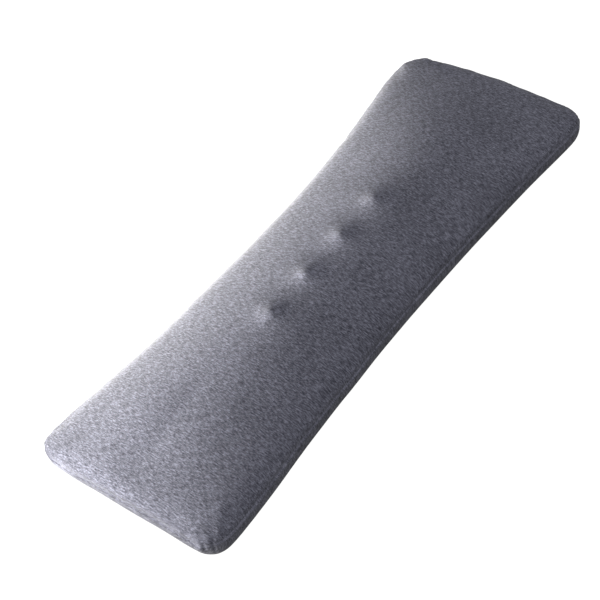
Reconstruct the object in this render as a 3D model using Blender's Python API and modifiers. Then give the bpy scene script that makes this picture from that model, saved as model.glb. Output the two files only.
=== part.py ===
"""Lumbar support pillow, lying on its back: one filled cushion with four bumps under its knit cover.

Metres, +Z up. The patch it rests on is at z = 0, and the origin is below the middle of its outline.
+X runs along the length to the wide end, the far one in the photo. +Y is the side that is far
from the camera. A coarse cage holds the main form, and Subdivision Surface rounds it. The sewing,
the weave and the small puckers are left to the scene.
"""
import bpy
import bmesh
from math import hypot, sqrt

# Length between the ends, and how far the wide end bows out in its middle
LENGTH = 0.619
BOW = 0.005

# The seam runs round the whole cushion in a shallow groove between two lips
SEAM_HEIGHT = 0.0245
LIP_HEIGHT = 0.0262

# The top panel leaves its lip steeply and is over this shoulder a finger's width in
SHOULDER_RISE = 0.0072
SHOULDER_WIDTH = 0.0110

# Half widths on both sides of the row of bumps, and the height that the filling adds to the
# middle: full at the waist, and pressed thin at the ends, where the two panels are sewn together
STATIONS = [
    # along, plus side, minus side, crown
    (-1.00, 0.1180, 0.1085, 0.0024),
    (-0.70, 0.1060, 0.1050, 0.0148),
    (-0.35, 0.0970, 0.0976, 0.0211),
    (0.00, 0.0935, 0.0960, 0.0222),
    (0.35, 0.0961, 0.0990, 0.0211),
    (0.70, 0.1078, 0.1050, 0.0148),
    (1.00, 0.1205, 0.1132, 0.0024),
]

# Each corner's radius; the far left one is the softest
CORNER_RADII = {
    # end, side: radius
    (-1, 1): 0.0290,
    (-1, -1): 0.0290,
    (1, 1): 0.0385,
    (1, -1): 0.0280,
}

# The underside, from the seam down to the patch it rests on: first the seam's groove, then the
# lower lip, then the side drawn in below it
LOWER_ROWS = [
    # inset, height
    (0.0014, SEAM_HEIGHT),
    (0.0000, 0.0226),
    (0.0012, 0.0120),
    (0.0058, 0.0036),
    (0.0150, 0.0000),
]
GROOVE_ROW = 1

# Four bumps in a row along the middle: pads under the cover, which is drawn over them like a low
# tent. The rise is the cage's, a quarter more than the smoothed one, and the reach is the distance
# from a bump's middle at which half of it is left.
BUMPS = 4
BUMP_SPACING = 0.0568
BUMP_RISE = 0.0030
BUMP_REACH = 0.0095

# The cage's columns: so many from one bump to the next, then wider ones as far as the rim rows
COLUMNS_PER_BUMP = 6
WIDE_COLUMNS = 6

# The cage's rows: places across each half as far as the rim rows, as shares of that distance
ACROSS = (0.0, 0.18, 0.38, 0.66)

# The rim rows, as distances in from the rim, for the shoulder and the round corners
RIM_ROWS = (0.0280, 0.0120, 0.0036, 0.0)

COVER_COLOUR = (0.16, 0.16, 0.19, 1.0)
COVER_ROUGHNESS = 0.9


def station_value(column, along):
    """A smooth curve through one column of the stations, read at a place along the length."""
    pairs = [(row[0], row[column]) for row in STATIONS]
    first = max(i for i in range(len(pairs) - 1) if i == 0 or pairs[i][0] <= along)
    (x0, y0), (x1, y1) = pairs[first:first + 2]
    (xa, ya) = pairs[max(first - 1, 0)]
    (xb, yb) = pairs[min(first + 2, len(pairs) - 1)]
    step = x1 - x0
    leaving = (y1 - ya) / (x1 - xa) * step
    arriving = (yb - y0) / (xb - x0) * step
    t = (along - x0) / step
    ease = t * t * (3 - 2 * t)
    return y0 + (y1 - y0) * ease + t * (1 - t) * (leaving * (1 - t) - arriving * t)


def column_places():
    """Distances from the middle of the length to an end, one for each column of a half."""
    fine = BUMP_SPACING / COLUMNS_PER_BUMP
    fine_columns = COLUMNS_PER_BUMP * BUMPS // 2
    wide_start = fine * fine_columns
    wide = (LENGTH / 2 - RIM_ROWS[0] - wide_start) / WIDE_COLUMNS
    places = [fine * i for i in range(fine_columns)]
    places += [wide_start + wide * i for i in range(WIDE_COLUMNS)]
    return places + [LENGTH / 2 - inset for inset in RIM_ROWS]


def row_places(half_width):
    """Distances from the row of bumps to a side, one for each row of a half."""
    inner = half_width - RIM_ROWS[0]
    return [inner * share for share in ACROSS] + [half_width - inset for inset in RIM_ROWS]


def half_width_at(x, side):
    """Distance from the row of bumps to the rim on one side."""
    return station_value(1 if side > 0 else 2, 2 * x / LENGTH)


def place_in_plan(column, row, inset):
    """Where a cage point lies in plan, and how far it is from the rim.

    The corner's square of points is pressed into a quarter of a disc, so that the rows run
    round the corner. A point of the underside is moved in from the rim by its inset.
    """
    end = 1 if column >= 0 else -1
    side = 1 if row >= 0 else -1
    x = end * column_places()[abs(column)]
    half_width = half_width_at(x, side)
    y = side * row_places(half_width)[abs(row)]
    from_end = LENGTH / 2 - abs(x)
    from_side = half_width - abs(y)
    from_rim = min(from_end, from_side)
    radius = CORNER_RADII[(end, side)]
    outward = max(0.0, 1 - from_end / radius)
    sideward = max(0.0, 1 - from_side / radius)
    round_outward = outward * sqrt(1 - sideward ** 2 / 2)
    round_sideward = sideward * sqrt(1 - outward ** 2 / 2)
    reach = hypot(round_outward, round_sideward)
    if outward > 0 and sideward > 0:
        from_rim = radius * (1 - reach)
        x = end * (LENGTH / 2 - radius * (1 - round_outward))
        y = side * (half_width - radius * (1 - round_sideward))
    if inset > 0:
        x -= end * inset * round_outward / reach
        y -= side * inset * round_sideward / reach
    if end > 0:
        x += BOW * (2 * x / LENGTH) ** 4 * (1 - (y / half_width) ** 2)
    return x, y, from_rim


def bump_rise(x, y):
    """How far the pads push the cover up, in tents that are steep near their tips and fade outward."""
    first = BUMP_SPACING * (1 - BUMPS) / 2
    aways = [hypot(x - first - BUMP_SPACING * i, y) for i in range(BUMPS)]
    return sum(BUMP_RISE / (1 + (away / BUMP_REACH) ** 2) for away in aways)


def top_height(x, y, from_rim):
    """Height of the top panel without its bumps: lip, shoulder and crown."""
    share_in = min(from_rim / SHOULDER_WIDTH, 1.0)
    shoulder = SHOULDER_RISE * sqrt(1 - (1 - share_in) ** 2)
    across = min(abs(y) / half_width_at(x, y), 1.0)
    crown = station_value(3, min(2 * x / LENGTH, 1.0)) * (1 - across ** 2)
    return LIP_HEIGHT + shoulder + crown


def counted_cage():
    """A grid whose rim is drawn down in rows and closed below; its coordinates are still counts."""
    columns = len(column_places()) - 1
    rows = len(ACROSS) + len(RIM_ROWS) - 1
    cage = bmesh.new()
    bmesh.ops.create_grid(cage, x_segments=2 * columns, y_segments=2 * rows, size=1.0)
    bmesh.ops.scale(cage, vec=(columns, rows, 1.0), verts=cage.verts)
    for _ in LOWER_ROWS:
        rim = [edge for edge in cage.edges if edge.is_boundary]
        drawn = bmesh.ops.extrude_edge_only(cage, edges=rim)["geom"]
        points = [item for item in drawn if isinstance(item, bmesh.types.BMVert)]
        bmesh.ops.translate(cage, vec=(0.0, 0.0, -1.0), verts=points)
    rim = [edge for edge in cage.edges if edge.is_boundary]
    bmesh.ops.edgeloop_fill(cage, edges=rim)
    return cage


def crease_rows(cage):
    """Keep the seam's groove sharp, and the patch below flat out to its edge."""
    crease = cage.edges.layers.float.new("crease_edge")
    for level in (GROOVE_ROW, len(LOWER_ROWS)):
        for edge in cage.edges:
            if all(round(-vert.co.z) == level for vert in edge.verts):
                edge[crease] = 1.0


def shape_cage(cage):
    """Move each counted point to its place on the cushion."""
    for vert in cage.verts:
        column, row, level = round(vert.co.x), round(vert.co.y), round(-vert.co.z)
        if level == 0:
            x, y, from_rim = place_in_plan(column, row, 0.0)
            vert.co = (x, y, top_height(x, y, from_rim) + bump_rise(x, y))
        else:
            inset, height = LOWER_ROWS[level - 1]
            x, y, _ = place_in_plan(column, row, inset)
            vert.co = (x, y, height)


def centre_outline(cage):
    """Put the middle of the outline over the origin."""
    xs = [vert.co.x for vert in cage.verts]
    ys = [vert.co.y for vert in cage.verts]
    shift = (-(min(xs) + max(xs)) / 2, -(min(ys) + max(ys)) / 2, 0.0)
    bmesh.ops.translate(cage, vec=shift, verts=cage.verts)


def make_pillow():
    """The cushion: its cage, rounded by one level of subdivision."""
    cage = counted_cage()
    crease_rows(cage)
    shape_cage(cage)
    centre_outline(cage)
    bmesh.ops.recalc_face_normals(cage, faces=cage.faces)
    for face in cage.faces:
        face.smooth = True
    mesh = bpy.data.meshes.new("pillow")
    cage.to_mesh(mesh)
    cage.free()
    pillow = bpy.data.objects.new("pillow", mesh)
    rounding = pillow.modifiers.new("rounding", "SUBSURF")
    rounding.levels = 1
    rounding.render_levels = 1
    return pillow


def cover_material():
    """Grey heather knit, as one plain colour."""
    material = bpy.data.materials.new("cover_knit")
    material.use_nodes = True
    shader = material.node_tree.nodes["Principled BSDF"]
    shader.inputs["Base Color"].default_value = COVER_COLOUR
    shader.inputs["Roughness"].default_value = COVER_ROUGHNESS
    return material


for old in list(bpy.data.objects):
    bpy.data.objects.remove(old, do_unlink=True)

parts = bpy.data.collections.new("lumbar_support_pillow")
bpy.context.scene.collection.children.link(parts)
cushion = make_pillow()
cushion.data.materials.append(cover_material())
parts.objects.link(cushion)
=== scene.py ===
# %% [markdown]
# # A lumbar support pillow in heather jersey
#
# A long flat pillow for the small of the back. Two waisted panels of grey heather jersey are sewn
# together round their edge and filled, and four firm pads push up from under the top panel in a
# row. The solid model gives the place and size of the whole cushion. This script gives it its cover.

# %% Load the solid model
from math import cos, pi, radians, sin

import bmesh
import bpy
import numpy as np
from mathutils import Matrix, Vector, kdtree, noise


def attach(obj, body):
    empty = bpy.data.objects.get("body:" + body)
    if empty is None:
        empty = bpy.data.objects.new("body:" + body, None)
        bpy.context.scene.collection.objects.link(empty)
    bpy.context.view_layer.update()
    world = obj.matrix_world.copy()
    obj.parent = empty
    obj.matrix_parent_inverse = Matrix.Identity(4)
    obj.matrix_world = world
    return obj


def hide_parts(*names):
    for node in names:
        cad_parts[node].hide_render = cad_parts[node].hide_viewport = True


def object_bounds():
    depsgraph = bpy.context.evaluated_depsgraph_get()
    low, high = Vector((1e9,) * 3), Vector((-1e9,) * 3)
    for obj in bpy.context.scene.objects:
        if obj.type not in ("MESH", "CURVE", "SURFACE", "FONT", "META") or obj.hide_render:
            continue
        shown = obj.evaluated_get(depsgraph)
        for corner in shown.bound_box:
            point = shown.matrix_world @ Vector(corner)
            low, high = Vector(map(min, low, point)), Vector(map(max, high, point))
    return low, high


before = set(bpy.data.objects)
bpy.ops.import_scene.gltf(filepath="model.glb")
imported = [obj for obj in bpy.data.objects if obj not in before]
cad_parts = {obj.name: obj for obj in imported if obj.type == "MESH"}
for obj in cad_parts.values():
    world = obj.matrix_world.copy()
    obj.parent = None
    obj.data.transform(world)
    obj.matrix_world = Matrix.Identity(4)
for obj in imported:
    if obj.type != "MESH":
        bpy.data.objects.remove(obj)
solid_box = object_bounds()
print("solid model's box in metres:", [tuple(round(c, 4) for c in corner) for corner in solid_box])

# %% [markdown]
# ## The cover's mesh
#
# The real cover is knit cloth drawn tight over a soft filling. It could be modelled again from
# nothing, but the solid already has the right form, so its own faces are the best start. They come
# as loose triangles: they are welded, paired back into four-sided faces, and then subdivided. The
# rows of faces run along the seam, so that the seam stays crisp, which a remesh would blur.

# %% Copy the solid's faces and make them whole
SEAM_HEIGHT = 0.0245
WELD = 0.00001


def quads_of_solid(node):
    """The node's faces as one welded mesh of four-sided faces."""
    mesh = bmesh.new()
    mesh.from_mesh(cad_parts[node].data)
    bmesh.ops.remove_doubles(mesh, verts=mesh.verts, dist=WELD)
    bmesh.ops.join_triangles(mesh, faces=mesh.faces, angle_face_threshold=pi,
                             angle_shape_threshold=pi)
    return mesh


cage = quads_of_solid("pillow")
four_sided = sum(len(face.verts) == 4 for face in cage.faces)
print("faces:", len(cage.faces), "of them four-sided:", four_sided)
cover_mesh = bpy.data.meshes.new("cover")
cage.to_mesh(cover_mesh)
cage.free()
cover = bpy.data.objects.new("cover", cover_mesh)
bpy.context.scene.collection.objects.link(cover)

# %% [markdown]
# ## Drawing the cover tight
#
# The filling presses the jersey outward everywhere, and the cloth lies a little loose just beside
# the seam, where the thread holds its edge short. Blender's cloth does both: pressure from inside,
# and a vertex group that lets the cloth grow by a few hundredths close to the seam, so that it has
# to buckle there. The seam and the underside are pinned. Afterwards the move is faded out above the
# shoulder, because the pull in the cloth would flatten the four bumps, and no point may have moved
# more than a millimetre and a half, so that the cushion keeps the form of its solid.

# %% Subdivide once, with the seam kept sharp
LOOSE_REACH = 0.010
LOOSE_GROWTH = 0.05
SETTLE_FRAMES = 20
FADE_RISE = 0.0080
MOST_MOVE = 0.0015


def points_of(mesh):
    """The mesh's points as rows of x, y and z."""
    flat = np.empty(len(mesh.vertices) * 3)
    mesh.vertices.foreach_get("co", flat)
    return flat.reshape(-1, 3)


def set_points(mesh, points):
    """Give the mesh new places for its points."""
    mesh.vertices.foreach_set("co", np.ascontiguousarray(points, dtype=np.float64).ravel())
    mesh.update()


def with_modifiers(piece):
    """Replace the piece's mesh by what its modifiers make of it."""
    graph = bpy.context.evaluated_depsgraph_get()
    mesh = bpy.data.meshes.new_from_object(piece.evaluated_get(graph))
    piece.modifiers.clear()
    piece.data = mesh


def crease_seam(mesh):
    """Mark the seam's edges sharp for the subdivision, so that its groove isn't rounded away."""
    cloth = bmesh.new()
    cloth.from_mesh(mesh)
    crease = cloth.edges.layers.float.new("crease_edge")
    for edge in cloth.edges:
        if all(abs(vert.co.z - SEAM_HEIGHT) < WELD * 3 for vert in edge.verts):
            edge[crease] = 1.0
        elif all(vert.co.z < WELD for vert in edge.verts) and len(edge.link_faces) == 2:
            if any(face.normal.z > -0.99 for face in edge.link_faces):
                edge[crease] = 1.0
    cloth.to_mesh(mesh)
    cloth.free()


crease_seam(cover.data)
finer = cover.modifiers.new("finer", "SUBSURF")
finer.levels = 1
with_modifiers(cover)
still = points_of(cover.data)
print("points before settling:", len(still))

# %% Let the cover settle
def add_group(piece, name, weights):
    """A vertex group with one weight for each point."""
    group = piece.vertex_groups.new(name=name)
    for i in np.flatnonzero(weights > 0.01):
        group.add([int(i)], float(weights[i]), "REPLACE")


def settle(piece, held, loose):
    """Inflate the cloth for a few frames, and return where its points end."""
    add_group(piece, "held", held)
    add_group(piece, "loose", loose)
    cloth = piece.modifiers.new("cloth", "CLOTH")
    cloth.settings.vertex_group_mass = "held"
    cloth.settings.vertex_group_shrink = "loose"
    cloth.settings.shrink_min = 0.0
    cloth.settings.shrink_max = -LOOSE_GROWTH
    cloth.settings.tension_stiffness = 15
    cloth.settings.compression_stiffness = 15
    cloth.settings.bending_stiffness = 0.05
    cloth.settings.use_pressure = True
    cloth.settings.uniform_pressure_force = 4
    cloth.settings.effector_weights.gravity = 0
    cloth.collision_settings.use_collision = False
    cloth.point_cache.frame_start = 1
    cloth.point_cache.frame_end = SETTLE_FRAMES
    for step in range(1, SETTLE_FRAMES + 1):
        bpy.context.scene.frame_set(step)
    graph = bpy.context.evaluated_depsgraph_get()
    ended = points_of(piece.evaluated_get(graph).to_mesh())
    piece.modifiers.remove(cloth)
    bpy.context.scene.frame_set(1)
    return ended


def capped(start, end, most):
    """Each point's move, cut off at the most that it may be."""
    move = end - start
    length = np.linalg.norm(move, axis=1, keepdims=True)
    return start + move * np.minimum(1.0, most / np.maximum(length, 1e-9))


rise = still[:, 2] - SEAM_HEIGHT
held = (rise < WELD * 3).astype(float)
loose = np.where(rise > 0.0, np.exp(-rise / LOOSE_REACH), 0.0)
ended = settle(cover, held, loose)
moved = np.linalg.norm(ended - still, axis=1)
print("moved by settling, mean and most in mm:", (moved.mean() * 1000).round(2),
      (moved.max() * 1000).round(2))
fade = np.exp(-(np.maximum(rise, 0.0) / FADE_RISE) ** 2)[:, None]
set_points(cover.data, capped(still, still + (ended - still) * fade, MOST_MOVE))

# %% [markdown]
# ## The seam, its puckers and the corners
#
# The two panels are sewn right sides together and turned, so on the outside the seam is a narrow
# groove with no stitches to be seen. The seam's thread holds the edge a little shorter than the
# cloth, which rises in small puckers on both sides of it. Where the seam turns a corner, the spare
# cloth is gathered in deeper folds. All of this is finer than the solid, so the mesh is subdivided
# once more, and each point is moved by a rule that knows how far it is from the seam and how far
# along the seam it lies.

# %% Measure where each point lies along the seam
last_finer = cover.modifiers.new("finest", "SUBSURF")
last_finer.levels = 1
with_modifiers(cover)
places = points_of(cover.data)


def seam_loop(mesh):
    """The seam's points in order round the cushion, found by walking its edges."""
    cloth = bmesh.new()
    cloth.from_mesh(mesh)
    on_seam = {vert for vert in cloth.verts if abs(vert.co.z - SEAM_HEIGHT) < WELD / 5}
    loop = [max(on_seam, key=lambda vert: vert.co.x)]
    seen = set(loop)
    while True:
        onward = [edge.other_vert(loop[-1]) for edge in loop[-1].link_edges]
        onward = [vert for vert in onward if vert in on_seam and vert not in seen]
        if not onward:
            break
        loop.append(min(onward, key=lambda vert: abs(vert.co.z - SEAM_HEIGHT)))
        seen.add(loop[-1])
    points = np.array([vert.co[:] for vert in loop])
    cloth.free()
    return points


def outward_of(loop):
    """For each seam point, the level direction that points away from the cushion."""
    along = np.roll(loop, -1, axis=0) - np.roll(loop, 1, axis=0)
    outward = np.stack([along[:, 1], -along[:, 0], np.zeros(len(loop))], axis=1)
    outward /= np.linalg.norm(outward, axis=1, keepdims=True)
    if (outward * loop).sum() < 0:
        outward = -outward
    return outward


seam = seam_loop(cover.data)
seam_outward = outward_of(seam)
seam_step = np.linalg.norm(np.roll(seam, -1, axis=0) - seam, axis=1)
seam_run = np.concatenate([[0.0], np.cumsum(seam_step)[:-1]])
seam_length = seam_step.sum()

tree = kdtree.KDTree(len(seam))
for i, point in enumerate(seam):
    tree.insert(Vector(point), i)
tree.balance()
nearest = np.array([tree.find(Vector(place))[1] for place in places])
from_seam = np.linalg.norm(places - seam[nearest], axis=1)
run = seam_run[nearest]
outward = seam_outward[nearest]
above = places[:, 2] > SEAM_HEIGHT
print("seam length in metres:", round(seam_length, 3), "points along it:", len(seam))

# %% Groove, puckers and gathers
GROOVE_DEPTH = -0.0009
GROOVE_WIDTH = 0.0012
PUCKER_HEIGHT = 0.00045
PUCKER_PITCH = 0.011
PUCKER_REACH = 0.0035
GATHER_WIDTH = 0.0016
SWELL_REACH = 0.008
SHOULDER_FULLNESS = 0.0009
SHOULDER_PLACE = 0.0065
SHOULDER_REACH = 0.0035


def along_from(x, y):
    """Each point's distance along the seam from the seam point nearest to a place."""
    start = seam_run[np.hypot(seam[:, 0] - x, seam[:, 1] - y).argmin()]
    gap = run - start
    return (gap + seam_length / 2) % seam_length - seam_length / 2


# Folds that run in from the seam, most of them at the corners
GATHERS = [
    # x, y, depth, length
    (-0.3100, -0.0970, 0.0009, 0.0055),
    (-0.3060, -0.1060, 0.0006, 0.0080),
    (-0.3150, -0.0800, 0.0008, 0.0050),
    (-0.3050, 0.1060, 0.0005, 0.0080),
    (0.3100, 0.0800, 0.0012, 0.0070),
    (0.2980, 0.1050, 0.0005, 0.0080),
    (0.3140, -0.0200, 0.0009, 0.0070),
    (0.3020, -0.1020, 0.0006, 0.0080),
    (0.3110, -0.0880, 0.0005, 0.0090),
]

# The edge isn't quite even: it stands out a little here and draws in there, most at the corners
SWELLINGS = [
    # x, y, outward, half length
    (-0.3145, -0.0925, 0.0022, 0.0065),
    (-0.3060, -0.1100, -0.0008, 0.0080),
    (-0.3160, -0.0480, -0.0011, 0.0260),
    (-0.3160, 0.0620, 0.0013, 0.0200),
    (-0.3110, 0.0900, 0.0010, 0.0120),
    (-0.2700, 0.1060, 0.0010, 0.0350),
    (-0.1950, 0.0990, 0.0009, 0.0400),
    (-0.1000, 0.0960, 0.0010, 0.0300),
    (-0.0500, 0.0950, 0.0013, 0.0300),
    (0.0050, 0.0940, 0.0009, 0.0280),
    (0.1680, 0.0985, -0.0012, 0.0300),
    (0.2500, 0.1070, 0.0010, 0.0200),
    (0.2950, 0.1070, -0.0011, 0.0090),
    (0.3120, 0.0905, 0.0022, 0.0060),
    (0.3160, 0.0450, 0.0011, 0.0350),
    (0.3160, -0.0070, 0.0014, 0.0130),
    (0.3090, -0.0910, 0.0018, 0.0120),
    (0.2000, -0.1120, -0.0006, 0.0400),
    (0.1050, -0.1070, -0.0007, 0.0450),
    (-0.0900, -0.1080, 0.0013, 0.0280),
    (-0.1790, -0.1100, -0.0012, 0.0300),
]


def groove():
    """How far the cloth stands out at the seam: the depth is below nought, so it fills the solid's
    groove a little.
    """
    return -GROOVE_DEPTH * np.exp(-(from_seam / GROOVE_WIDTH) ** 2)


def puckers():
    """Small swellings beside the seam, of uneven size and spacing, others above it than below."""
    near = np.flatnonzero(from_seam < 8 * PUCKER_REACH)
    swell = np.zeros(len(places))
    for i in near:
        turn = 2 * pi * run[i] / seam_length
        ring = seam_length / (2 * pi * PUCKER_PITCH)
        where = Vector((ring * cos(turn), ring * sin(turn), 5.0 if above[i] else 40.0))
        swell[i] = noise.noise(where) + 0.5 * noise.noise(where * 2.3)
    reach = from_seam / PUCKER_REACH
    return PUCKER_HEIGHT * swell * reach * np.exp(1 - reach)


def gathers():
    """Creases that run in from the seam at the corners, with the cloth heaped up beside them."""
    depth = np.zeros(len(places))
    for x, y, most, length in GATHERS:
        gap = along_from(x, y) / GATHER_WIDTH
        crease = np.exp(-gap ** 2) - 0.5 * np.exp(-(np.abs(gap) - 1.9) ** 2)
        depth -= most * crease * np.exp(-(from_seam / length) ** 2)
    return depth


def swellings():
    """How far the edge stands out or draws in, fading towards the middle of the cushion."""
    out = np.zeros(len(places))
    for x, y, most, half_length in SWELLINGS:
        reach = SWELL_REACH + half_length / 2
        out += most * np.exp(-(along_from(x, y) / half_length) ** 2 - (from_seam / reach) ** 2)
    return out


def full_shoulder():
    """The filling pushes the cover out just above the seam, more than the solid's shoulder."""
    reach = (from_seam - SHOULDER_PLACE) / SHOULDER_REACH
    return np.where(above, SHOULDER_FULLNESS * np.exp(-reach ** 2), 0.0)


# Near the narrow end the filling lies heavier on one side
END_FULLNESS = 0.0025
END_FULL_PLACE = -0.235
END_FULL_REACH = 0.062
FULL_SIDE_WIDTH = 0.108


def fuller_end():
    """More filling towards one side of the narrow end, none in the middle or at the edge."""
    across = np.clip(places[:, 1] / FULL_SIDE_WIDTH, 0.0, 1.0)
    swell = 11.0 * across ** 1.5 * (1 - across) ** 2
    along = np.exp(-((places[:, 0] - END_FULL_PLACE) / END_FULL_REACH) ** 2)
    return np.where(above, END_FULLNESS * swell * along, 0.0)


# Round the pads the filling leans to the other side, so that the cover's crest lies off the middle
LEAN = 0.0021
LEAN_WIDTH = 0.042
LEAN_PLACE = 0.055
LEAN_REACH = 0.120


def leaning():
    """Higher on one side of the row of pads and lower on the other."""
    across = places[:, 1] / LEAN_WIDTH
    along = (places[:, 0] - LEAN_PLACE) / LEAN_REACH
    return np.where(above, -LEAN * across * np.exp(-across ** 2 / 2 - along ** 2), 0.0)


# The filling isn't even, so the faces swell and dip a little over a hand's width
UNEVEN = 0.0007
UNEVEN_SCALE = 11.0

# The cloth is drawn to a finer point over each pad than the solid's coarse faces can show
PADS = 4
PAD_PITCH = 0.0568
POINT_RISE = 0.0009
POINT_REACH = 0.0080
DIP_DEPTH = 0.0007
DIP_FROM_TIP = 0.014
DIP_WIDTH = 0.028
DIP_LENGTH = 0.120


def pad_tips():
    """The highest point over each pad, along the middle of the cushion."""
    tips = []
    middle = np.abs(places[:, 1]) < PAD_PITCH / 4
    for i in range(PADS):
        guess = PAD_PITCH * (i - (PADS - 1) / 2)
        near = np.flatnonzero(middle & (np.abs(places[:, 0] - guess) < PAD_PITCH / 3))
        tips.append(places[near[places[near, 2].argmax()]])
    return np.array(tips)


def points_over_pads(tips):
    """How far the cloth is drawn up to its points."""
    away = np.linalg.norm(places[:, None, :2] - tips[None, :, :2], axis=2).min(axis=1)
    return np.where(above, POINT_RISE / (1 + (away / POINT_REACH) ** 2) ** 2, 0.0)


def dips_between_pads(tips):
    """The cloth sinks a little between the pads, so that each stands out by itself."""
    away = np.linalg.norm(places[:, None, :2] - tips[None, :, :2], axis=2).min(axis=1)
    between = 1 - np.exp(-(away / DIP_FROM_TIP) ** 2)
    across = (places[:, 1] / DIP_WIDTH) ** 2
    along = (places[:, 0] / DIP_LENGTH) ** 4
    return np.where(above, -DIP_DEPTH * between * np.exp(-across - along), 0.0)


def unevenness():
    """Slow swells of the filling, none where the cushion rests."""
    swell = np.array([noise.noise(Vector(place) * UNEVEN_SCALE) for place in places])
    return UNEVEN * swell * np.clip(places[:, 2] / SEAM_HEIGHT, 0.0, 1.0)


normals = np.empty(len(places) * 3)
cover.data.vertex_normals.foreach_get("vector", normals)
normals = normals.reshape(-1, 3)
sideways = (groove() + gathers() + swellings())[:, None] * outward
tips = pad_tips()
print("pad tips in metres:", tips.round(4).tolist())
filled = full_shoulder() + fuller_end() + leaning() + unevenness()
padded = points_over_pads(tips) + dips_between_pads(tips)
lifted = (puckers() + filled + padded)[:, None] * normals
lifted[places[:, 2] < 0.0005] = 0.0
shaped = places + sideways + lifted
shaped[:, 2] = np.maximum(shaped[:, 2], 0.0)
set_points(cover.data, shaped)
print("most that the sewing moves a point, in mm:",
      round(float(np.linalg.norm(shaped - places, axis=1).max()) * 1000, 2))

# %% [markdown]
# ## How the knit lies on the cushion
#
# A jersey has a direction: its yarns run across the width, and its columns of stitches along the
# length. On the flat of each panel the cloth can simply be read from above. Down the rounded edge
# that would smear it, so there each point's place on the cloth is carried on outward, by as much as
# the cloth has turned down. The places are kept on the mesh as an attribute, which works at any
# subdivision and needs no unwrapping. A second attribute marks a thin line on the edge that the top
# panel folds over just above the seam, where the knit is lightened. This is a painted highlight of that
# edge catching the light, and partly the stretched knit showing its light fibres.

# %% Each point's place on the cloth
TURN_HEIGHT = SEAM_HEIGHT + 0.008
UNDERSIDE_SHIFT = 0.37
FOLD_PLACE = 0.0014
FOLD_WIDTH = 0.0007
FOLD_PATCHES = 25.0

turned = np.where(above, np.maximum(TURN_HEIGHT - places[:, 2], 0.0), places[:, 2])
cloth_place = places + outward * turned[:, None]
cloth_place[:, 2] = np.where(above, 0.0, UNDERSIDE_SHIFT)
lay = cover.data.attributes.new("cloth_place", "FLOAT_VECTOR", "POINT")
lay.data.foreach_set("vector", cloth_place.ravel())
# Painted highlight: a thin line on the fold's edge above the seam is lightened as where that edge
# catches the light, partly the stretched knit's light fibres
fold_highlight_share = np.where(above, np.exp(-((from_seam - FOLD_PLACE) / FOLD_WIDTH) ** 2), 0.0)
fold_highlight_share *= np.array([0.65 + 0.7 * noise.noise(Vector(place) * FOLD_PATCHES) for place in places])
fold_highlight_mask = cover.data.attributes.new("seam_fold_highlight", "FLOAT", "POINT")
fold_highlight_mask.data.foreach_set("value", fold_highlight_share)
print("cloth across the waist, edge to edge, in metres:",
      round(float(np.ptp(cloth_place[above & (np.abs(places[:, 0]) < 0.01), 1])), 3))

# %% [markdown]
# ## The heather jersey
#
# Heather yarn is spun from light and dark fibres that are never quite mixed. Each yarn is lighter
# here and darker there, so the cloth shows short streaks along the yarns, and a fine salt and
# pepper on top. It could be an image, but noise stretched along the yarns gives the same look at
# any distance. The node group takes the place on the cloth and gives the colour and the height of
# the stitches, and the same group serves both panels.

# %% The heather knit as a node group
YARN_WIDTH = 0.0011
STREAK_LENGTH = 0.0064
STRAY_START = 0.60
STRAY_STRENGTH = 2.0
# How much the painted highlight on the seam's fold lightens the knit
FOLD_HIGHLIGHT_STRENGTH = 0.28
STITCH_WIDTH = 0.0011
STITCH_LENGTH = 0.0008


def add_node(tree, kind, **settings):
    """A new node, with its settings."""
    node = tree.nodes.new(kind)
    for name, value in settings.items():
        setattr(node, name, value)
    return node


def math_node(tree, operation, first, second=None):
    """A Math node fed by sockets or by plain numbers."""
    node = add_node(tree, "ShaderNodeMath", operation=operation)
    for socket, value in zip(node.inputs, (first, second)):
        if value is None:
            continue
        if isinstance(value, (int, float)):
            socket.default_value = value
        else:
            tree.links.new(value, socket)
    return node.outputs[0]


def streak_noise(tree, place, along_scale, across_scale, detail, shift):
    """Noise stretched along the yarns; the scales are in noise cells for each metre."""
    stretch = add_node(tree, "ShaderNodeMapping")
    stretch.inputs["Scale"].default_value = (along_scale, across_scale, 1.0)
    stretch.inputs["Location"].default_value = (shift, -shift, 0.0)
    tree.links.new(place, stretch.inputs["Vector"])
    cells = add_node(tree, "ShaderNodeTexNoise", noise_dimensions="3D")
    cells.inputs["Scale"].default_value = 1.0
    cells.inputs["Detail"].default_value = detail
    cells.inputs["Roughness"].default_value = 0.65
    tree.links.new(stretch.outputs["Vector"], cells.inputs["Vector"])
    return cells.outputs["Fac"]


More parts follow.
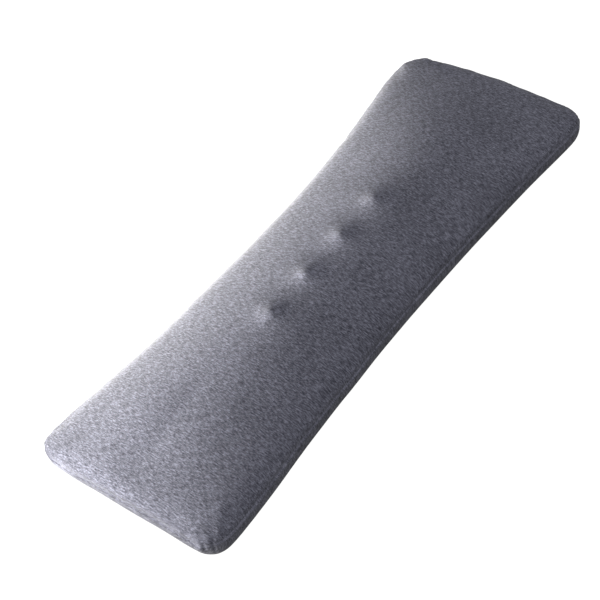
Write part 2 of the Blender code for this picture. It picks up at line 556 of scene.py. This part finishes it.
def heather_knit_group():
    """The knit: colour of the mixed fibres, and the height of its stitches."""
    tree = bpy.data.node_groups.new("heather_knit", "ShaderNodeTree")
    sockets = [
        ("Cloth Place", "INPUT", "NodeSocketVector"),
        ("Light Fibre", "INPUT", "NodeSocketColor"),
        ("Dark Fibre", "INPUT", "NodeSocketColor"),
        ("Contrast", "INPUT", "NodeSocketFloat"),
        ("Seam Fold Highlight", "INPUT", "NodeSocketFloat"),
        ("Color", "OUTPUT", "NodeSocketColor"),
        ("Height", "OUTPUT", "NodeSocketFloat"),
    ]
    for name, direction, kind in sockets:
        tree.interface.new_socket(name, in_out=direction, socket_type=kind)
    entry = add_node(tree, "NodeGroupInput")
    leave = add_node(tree, "NodeGroupOutput")
    place = entry.outputs["Cloth Place"]

    # Fibres: streaks along the yarns, finer ones, and a slow drift in the mix
    streaks = streak_noise(tree, place, 1 / YARN_WIDTH, 1 / STREAK_LENGTH, 2.0, 3.1)
    fine = streak_noise(tree, place, 2.1 / YARN_WIDTH, 2.6 / STREAK_LENGTH, 1.0, 17.3)
    slubs = streak_noise(tree, place, 0.4 / YARN_WIDTH, 0.6 / STREAK_LENGTH, 1.0, 29.7)
    drift = streak_noise(tree, place, 22.0, 14.0, 2.0, 8.9)
    mix = math_node(tree, "MULTIPLY", streaks, 0.44)
    mix = math_node(tree, "ADD", mix, math_node(tree, "MULTIPLY", fine, 0.36))
    mix = math_node(tree, "ADD", mix, math_node(tree, "MULTIPLY", slubs, 0.13))
    mix = math_node(tree, "ADD", mix, math_node(tree, "MULTIPLY", drift, 0.07))
    centred = math_node(tree, "SUBTRACT", mix, 0.5)
    spread = math_node(tree, "MULTIPLY", centred, entry.outputs["Contrast"])
    share = math_node(tree, "ADD", spread, 0.47)

    # Stray light fibres: only the peaks of another thin noise
    strays = streak_noise(tree, place, 1.5 / YARN_WIDTH, 1.8 / STREAK_LENGTH, 0.0, 41.3)
    strays = math_node(tree, "MAXIMUM", math_node(tree, "SUBTRACT", strays, STRAY_START), 0.0)
    strays = math_node(tree, "MULTIPLY", strays, STRAY_STRENGTH)
    share = math_node(tree, "POWER", math_node(tree, "MAXIMUM", share, 0.0), 1.5)
    share = math_node(tree, "ADD", share, strays)
    # Painted highlight: the mix is lightened along the fold's edge just above the seam
    painted_fold_highlight = math_node(tree, "MULTIPLY", entry.outputs["Seam Fold Highlight"], FOLD_HIGHLIGHT_STRENGTH)
    share = math_node(tree, "ADD", share, painted_fold_highlight)
    share.node.use_clamp = True
    blend = add_node(tree, "ShaderNodeMix", data_type="RGBA")
    tree.links.new(share, blend.inputs["Factor"])
    tree.links.new(entry.outputs["Dark Fibre"], blend.inputs["A"])
    tree.links.new(entry.outputs["Light Fibre"], blend.inputs["B"])
    tree.links.new(blend.outputs["Result"], leave.inputs["Color"])

    # Stitches: columns of small slanting legs, two to a stitch
    split = add_node(tree, "ShaderNodeSeparateXYZ")
    tree.links.new(place, split.inputs[0])
    column = math_node(tree, "MULTIPLY", split.outputs["Y"], 1 / STITCH_WIDTH)
    inside = math_node(tree, "FRACT", column)
    to_middle = math_node(tree, "ABSOLUTE", math_node(tree, "SUBTRACT", inside, 0.5))
    course = math_node(tree, "MULTIPLY", split.outputs["X"], 1 / STITCH_LENGTH)
    slant = math_node(tree, "MULTIPLY", to_middle, 1.2)
    wave = math_node(tree, "MULTIPLY", math_node(tree, "ADD", course, slant), 2 * pi)
    legs = math_node(tree, "MULTIPLY", math_node(tree, "SINE", wave), 0.5)
    round_leg = math_node(tree, "SINE", math_node(tree, "MULTIPLY", inside, 2 * pi))
    round_leg = math_node(tree, "ABSOLUTE", round_leg)
    height = math_node(tree, "ADD", math_node(tree, "MULTIPLY", legs, round_leg), round_leg)
    height = math_node(tree, "ADD", height, math_node(tree, "MULTIPLY", streaks, 0.8))
    tree.links.new(height, leave.inputs["Height"])
    return tree


heather_knit = heather_knit_group()
print("node group:", heather_knit.name, "with", len(heather_knit.nodes), "nodes")

# %% Cloth for the two panels
LIGHT_FIBRE = (0.325, 0.330, 0.420, 1.0)
DARK_FIBRE = (0.050, 0.051, 0.072, 1.0)
FIBRE_CONTRAST = 4.2
STITCH_RELIEF = 0.00006


def knit_material(name):
    """A matte jersey with soft stray fibres on its surface."""
    material = bpy.data.materials.new(name)
    material.use_nodes = True
    tree = material.node_tree
    shader = tree.nodes["Principled BSDF"]
    shader.inputs["Roughness"].default_value = 0.92
    shader.inputs["Specular IOR Level"].default_value = 0.25
    shader.inputs["Sheen Weight"].default_value = 0.25
    shader.inputs["Sheen Roughness"].default_value = 0.5
    shader.inputs["Sheen Tint"].default_value = (1.0, 0.99, 0.94, 1.0)
    place = add_node(tree, "ShaderNodeAttribute", attribute_name="cloth_place")
    knit = add_node(tree, "ShaderNodeGroup", node_tree=heather_knit)
    knit.inputs["Light Fibre"].default_value = LIGHT_FIBRE
    knit.inputs["Dark Fibre"].default_value = DARK_FIBRE
    knit.inputs["Contrast"].default_value = FIBRE_CONTRAST
    relief = add_node(tree, "ShaderNodeBump")
    relief.inputs["Strength"].default_value = 0.6
    relief.inputs["Distance"].default_value = STITCH_RELIEF
    tree.links.new(place.outputs["Vector"], knit.inputs["Cloth Place"])
    fold = add_node(tree, "ShaderNodeAttribute", attribute_name="seam_fold_highlight")
    tree.links.new(fold.outputs["Fac"], knit.inputs["Seam Fold Highlight"])
    tree.links.new(knit.outputs["Color"], shader.inputs["Base Color"])
    tree.links.new(knit.outputs["Height"], relief.inputs["Height"])
    tree.links.new(relief.outputs["Normal"], shader.inputs["Normal"])
    return material


cover.data.materials.clear()
cover.data.materials.append(knit_material("jersey_top_panel"))
cover.data.materials.append(knit_material("jersey_underside_panel"))
panel = np.zeros(len(cover.data.polygons), dtype=np.int32)
for face in cover.data.polygons:
    panel[face.index] = 0 if places[face.vertices[:], 2].mean() > SEAM_HEIGHT else 1
cover.data.polygons.foreach_set("material_index", panel)
cover.data.shade_smooth()
cover.name = "cover"
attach(cover, "root")
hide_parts("pillow")
print("faces in the top panel and the underside:", int((panel == 0).sum()), int((panel == 1).sum()))

# %% [markdown]
# ## Floor, light and camera
#
# The photo is a bright studio shot on white. One wide, very low light stands on the far left of the
# pillow, so that it rakes across the cloth: the side towards it is nearly white, the bumps show a
# bright flank and a dark one, and the near side is left to the soft light from all round. A strip of
# dark net keeps the near end's wall from burning out. The camera looks down from the near end at
# its own slight tilt.

# %% The floor
FLOOR_SIZE = 12.0


def white_floor():
    """A plain white sweep: pure white to the eye, and a pale grey that sends little light back."""
    mesh = bmesh.new()
    bmesh.ops.create_grid(mesh, x_segments=1, y_segments=1, size=FLOOR_SIZE / 2)
    data = bpy.data.meshes.new("floor")
    mesh.to_mesh(data)
    mesh.free()
    floor = bpy.data.objects.new("floor", data)
    floor.location.z = -0.0005
    material = bpy.data.materials.new("floor_white")
    material.use_nodes = True
    tree = material.node_tree
    shader = tree.nodes["Principled BSDF"]
    shader.inputs["Base Color"].default_value = (0.25, 0.25, 0.25, 1.0)
    shader.inputs["Roughness"].default_value = 0.9
    shader.inputs["Specular IOR Level"].default_value = 0.0
    shader.inputs["Emission Color"].default_value = (1.0, 1.0, 1.0, 1.0)
    rays = add_node(tree, "ShaderNodeLightPath")
    tree.links.new(rays.outputs["Is Camera Ray"], shader.inputs["Emission Strength"])
    data.materials.append(material)
    bpy.context.scene.collection.objects.link(floor)
    return floor


floor = white_floor()

# %% The light
KEY_AZIMUTH = radians(148)
KEY_DISTANCE = 1.15
KEY_HEIGHT = 0.115
KEY_WIDTH = 1.25
KEY_TALL = 0.20
KEY_POWER = 82.5
KEY_COLOUR = (1.0, 0.985, 0.93)
FILL_LOW = 0.20
FILL_HIGH = 0.64


def key_light():
    """A long low soft box, level with the pillow, on the far left."""
    lamp = bpy.data.lights.new("key", "AREA")
    lamp.shape = "RECTANGLE"
    lamp.size = KEY_WIDTH
    lamp.size_y = KEY_TALL
    lamp.energy = KEY_POWER
    lamp.color = KEY_COLOUR
    key = bpy.data.objects.new("key", lamp)
    place = Vector((cos(KEY_AZIMUTH), sin(KEY_AZIMUTH), 0.0)) * KEY_DISTANCE
    place.z = KEY_HEIGHT
    key.location = place
    aim = place - Vector((0.0, 0.0, 0.05))
    key.rotation_euler = aim.to_track_quat("Z", "Y").to_euler()
    bpy.context.scene.collection.objects.link(key)
    return key


key_light()

# %% Nets before the near end and the corner that faces the light
NET_GAP = 0.060
NET_REACH = (-0.150, 0.125)
NET_HEIGHT = 0.045
NET_LETS_THROUGH = 0.22
CORNER_NET_GAP = 0.012
CORNER_NET_HEIGHT = 0.0325
CORNER_NET_LETS_THROUGH = 0.35


def net_scrim(name, line, height, lets_through):
    """An upright strip of dark net on a line of places, unseen, that holds the key light back."""
    mesh = bmesh.new()
    low = [mesh.verts.new((x, y, 0.0)) for x, y in line]
    high = [mesh.verts.new((x, y, height)) for x, y in line]
    for i in range(len(line) - 1):
        mesh.faces.new((low[i], low[i + 1], high[i + 1], high[i]))
    data = bpy.data.meshes.new(name)
    mesh.to_mesh(data)
    mesh.free()
    scrim = bpy.data.objects.new(name, data)
    material = bpy.data.materials.new(name)
    material.use_nodes = True
    tree = material.node_tree
    tree.nodes.remove(tree.nodes["Principled BSDF"])
    see_through = add_node(tree, "ShaderNodeBsdfTransparent")
    see_through.inputs["Color"].default_value = (lets_through,) * 3 + (1.0,)
    tree.links.new(see_through.outputs["BSDF"], tree.nodes["Material Output"].inputs["Surface"])
    data.materials.append(material)
    bpy.context.scene.collection.objects.link(scrim)
    scrim.visible_camera = False
    scrim.visible_diffuse = False
    scrim.visible_glossy = False
    return scrim


def round_lit_corner():
    """A line of places a little way out from the seam, round the corner that faces the light."""
    at_corner = (seam_outward[:, 1] > 0.25) & (seam[:, 0] < -0.255)
    line = seam[at_corner, :2] + seam_outward[at_corner, :2] * CORNER_NET_GAP
    return line[::4].tolist()


end_x = solid_box[0][0] - NET_GAP
end_line = [(end_x, y) for y in NET_REACH]
net_scrim("end_net", end_line, NET_HEIGHT, NET_LETS_THROUGH)
corner_line = round_lit_corner()
net_scrim("corner_net", corner_line, CORNER_NET_HEIGHT, CORNER_NET_LETS_THROUGH)

# %% The soft light from all round
world = bpy.data.worlds.new("studio")
world.use_nodes = True
sky = world.node_tree.nodes["Background"]
sky.inputs["Color"].default_value = (1.0, 1.0, 1.0, 1.0)
direction = add_node(world.node_tree, "ShaderNodeTexCoord")
split = add_node(world.node_tree, "ShaderNodeSeparateXYZ")
world.node_tree.links.new(direction.outputs["Generated"], split.inputs[0])
height = math_node(world.node_tree, "MAXIMUM", split.outputs["Z"], 0.0)
brighter = math_node(world.node_tree, "MULTIPLY", height, FILL_HIGH - FILL_LOW)
world.node_tree.links.new(math_node(world.node_tree, "ADD", brighter, FILL_LOW), sky.inputs["Strength"])
bpy.context.scene.world = world
bpy.context.scene.view_settings.view_transform = "Standard"

# %% The camera
CAMERA_AZIMUTH = radians(-41.411)
CAMERA_ELEVATION = radians(47.971)
CAMERA_ROLL = radians(-14.768)
CAMERA_DISTANCE = 1.4454
CAMERA_LENS = 89.43
CAMERA_AIM = Vector((-0.0448, -0.0006, 0.030))


def photo_camera():
    """The camera at the photo's angle: round the pillow, above it, and rolled about its view."""
    level = cos(CAMERA_ELEVATION)
    back = Vector((sin(CAMERA_AZIMUTH) * level, -cos(CAMERA_AZIMUTH) * level,
                   sin(CAMERA_ELEVATION)))
    right = Vector((cos(CAMERA_AZIMUTH), sin(CAMERA_AZIMUTH), 0.0))
    up = back.cross(right)
    rolled_right = right * cos(CAMERA_ROLL) + up * sin(CAMERA_ROLL)
    rolled_up = up * cos(CAMERA_ROLL) - right * sin(CAMERA_ROLL)
    lens = bpy.data.cameras.new("camera")
    lens.lens = CAMERA_LENS
    lens.sensor_width = 36.0
    lens.clip_start = 0.05
    camera = bpy.data.objects.new("camera", lens)
    turn = Matrix((rolled_right, rolled_up, back)).transposed().to_4x4()
    camera.matrix_world = Matrix.Translation(CAMERA_AIM + back * CAMERA_DISTANCE) @ turn
    bpy.context.scene.collection.objects.link(camera)
    return camera


bpy.context.scene.camera = photo_camera()
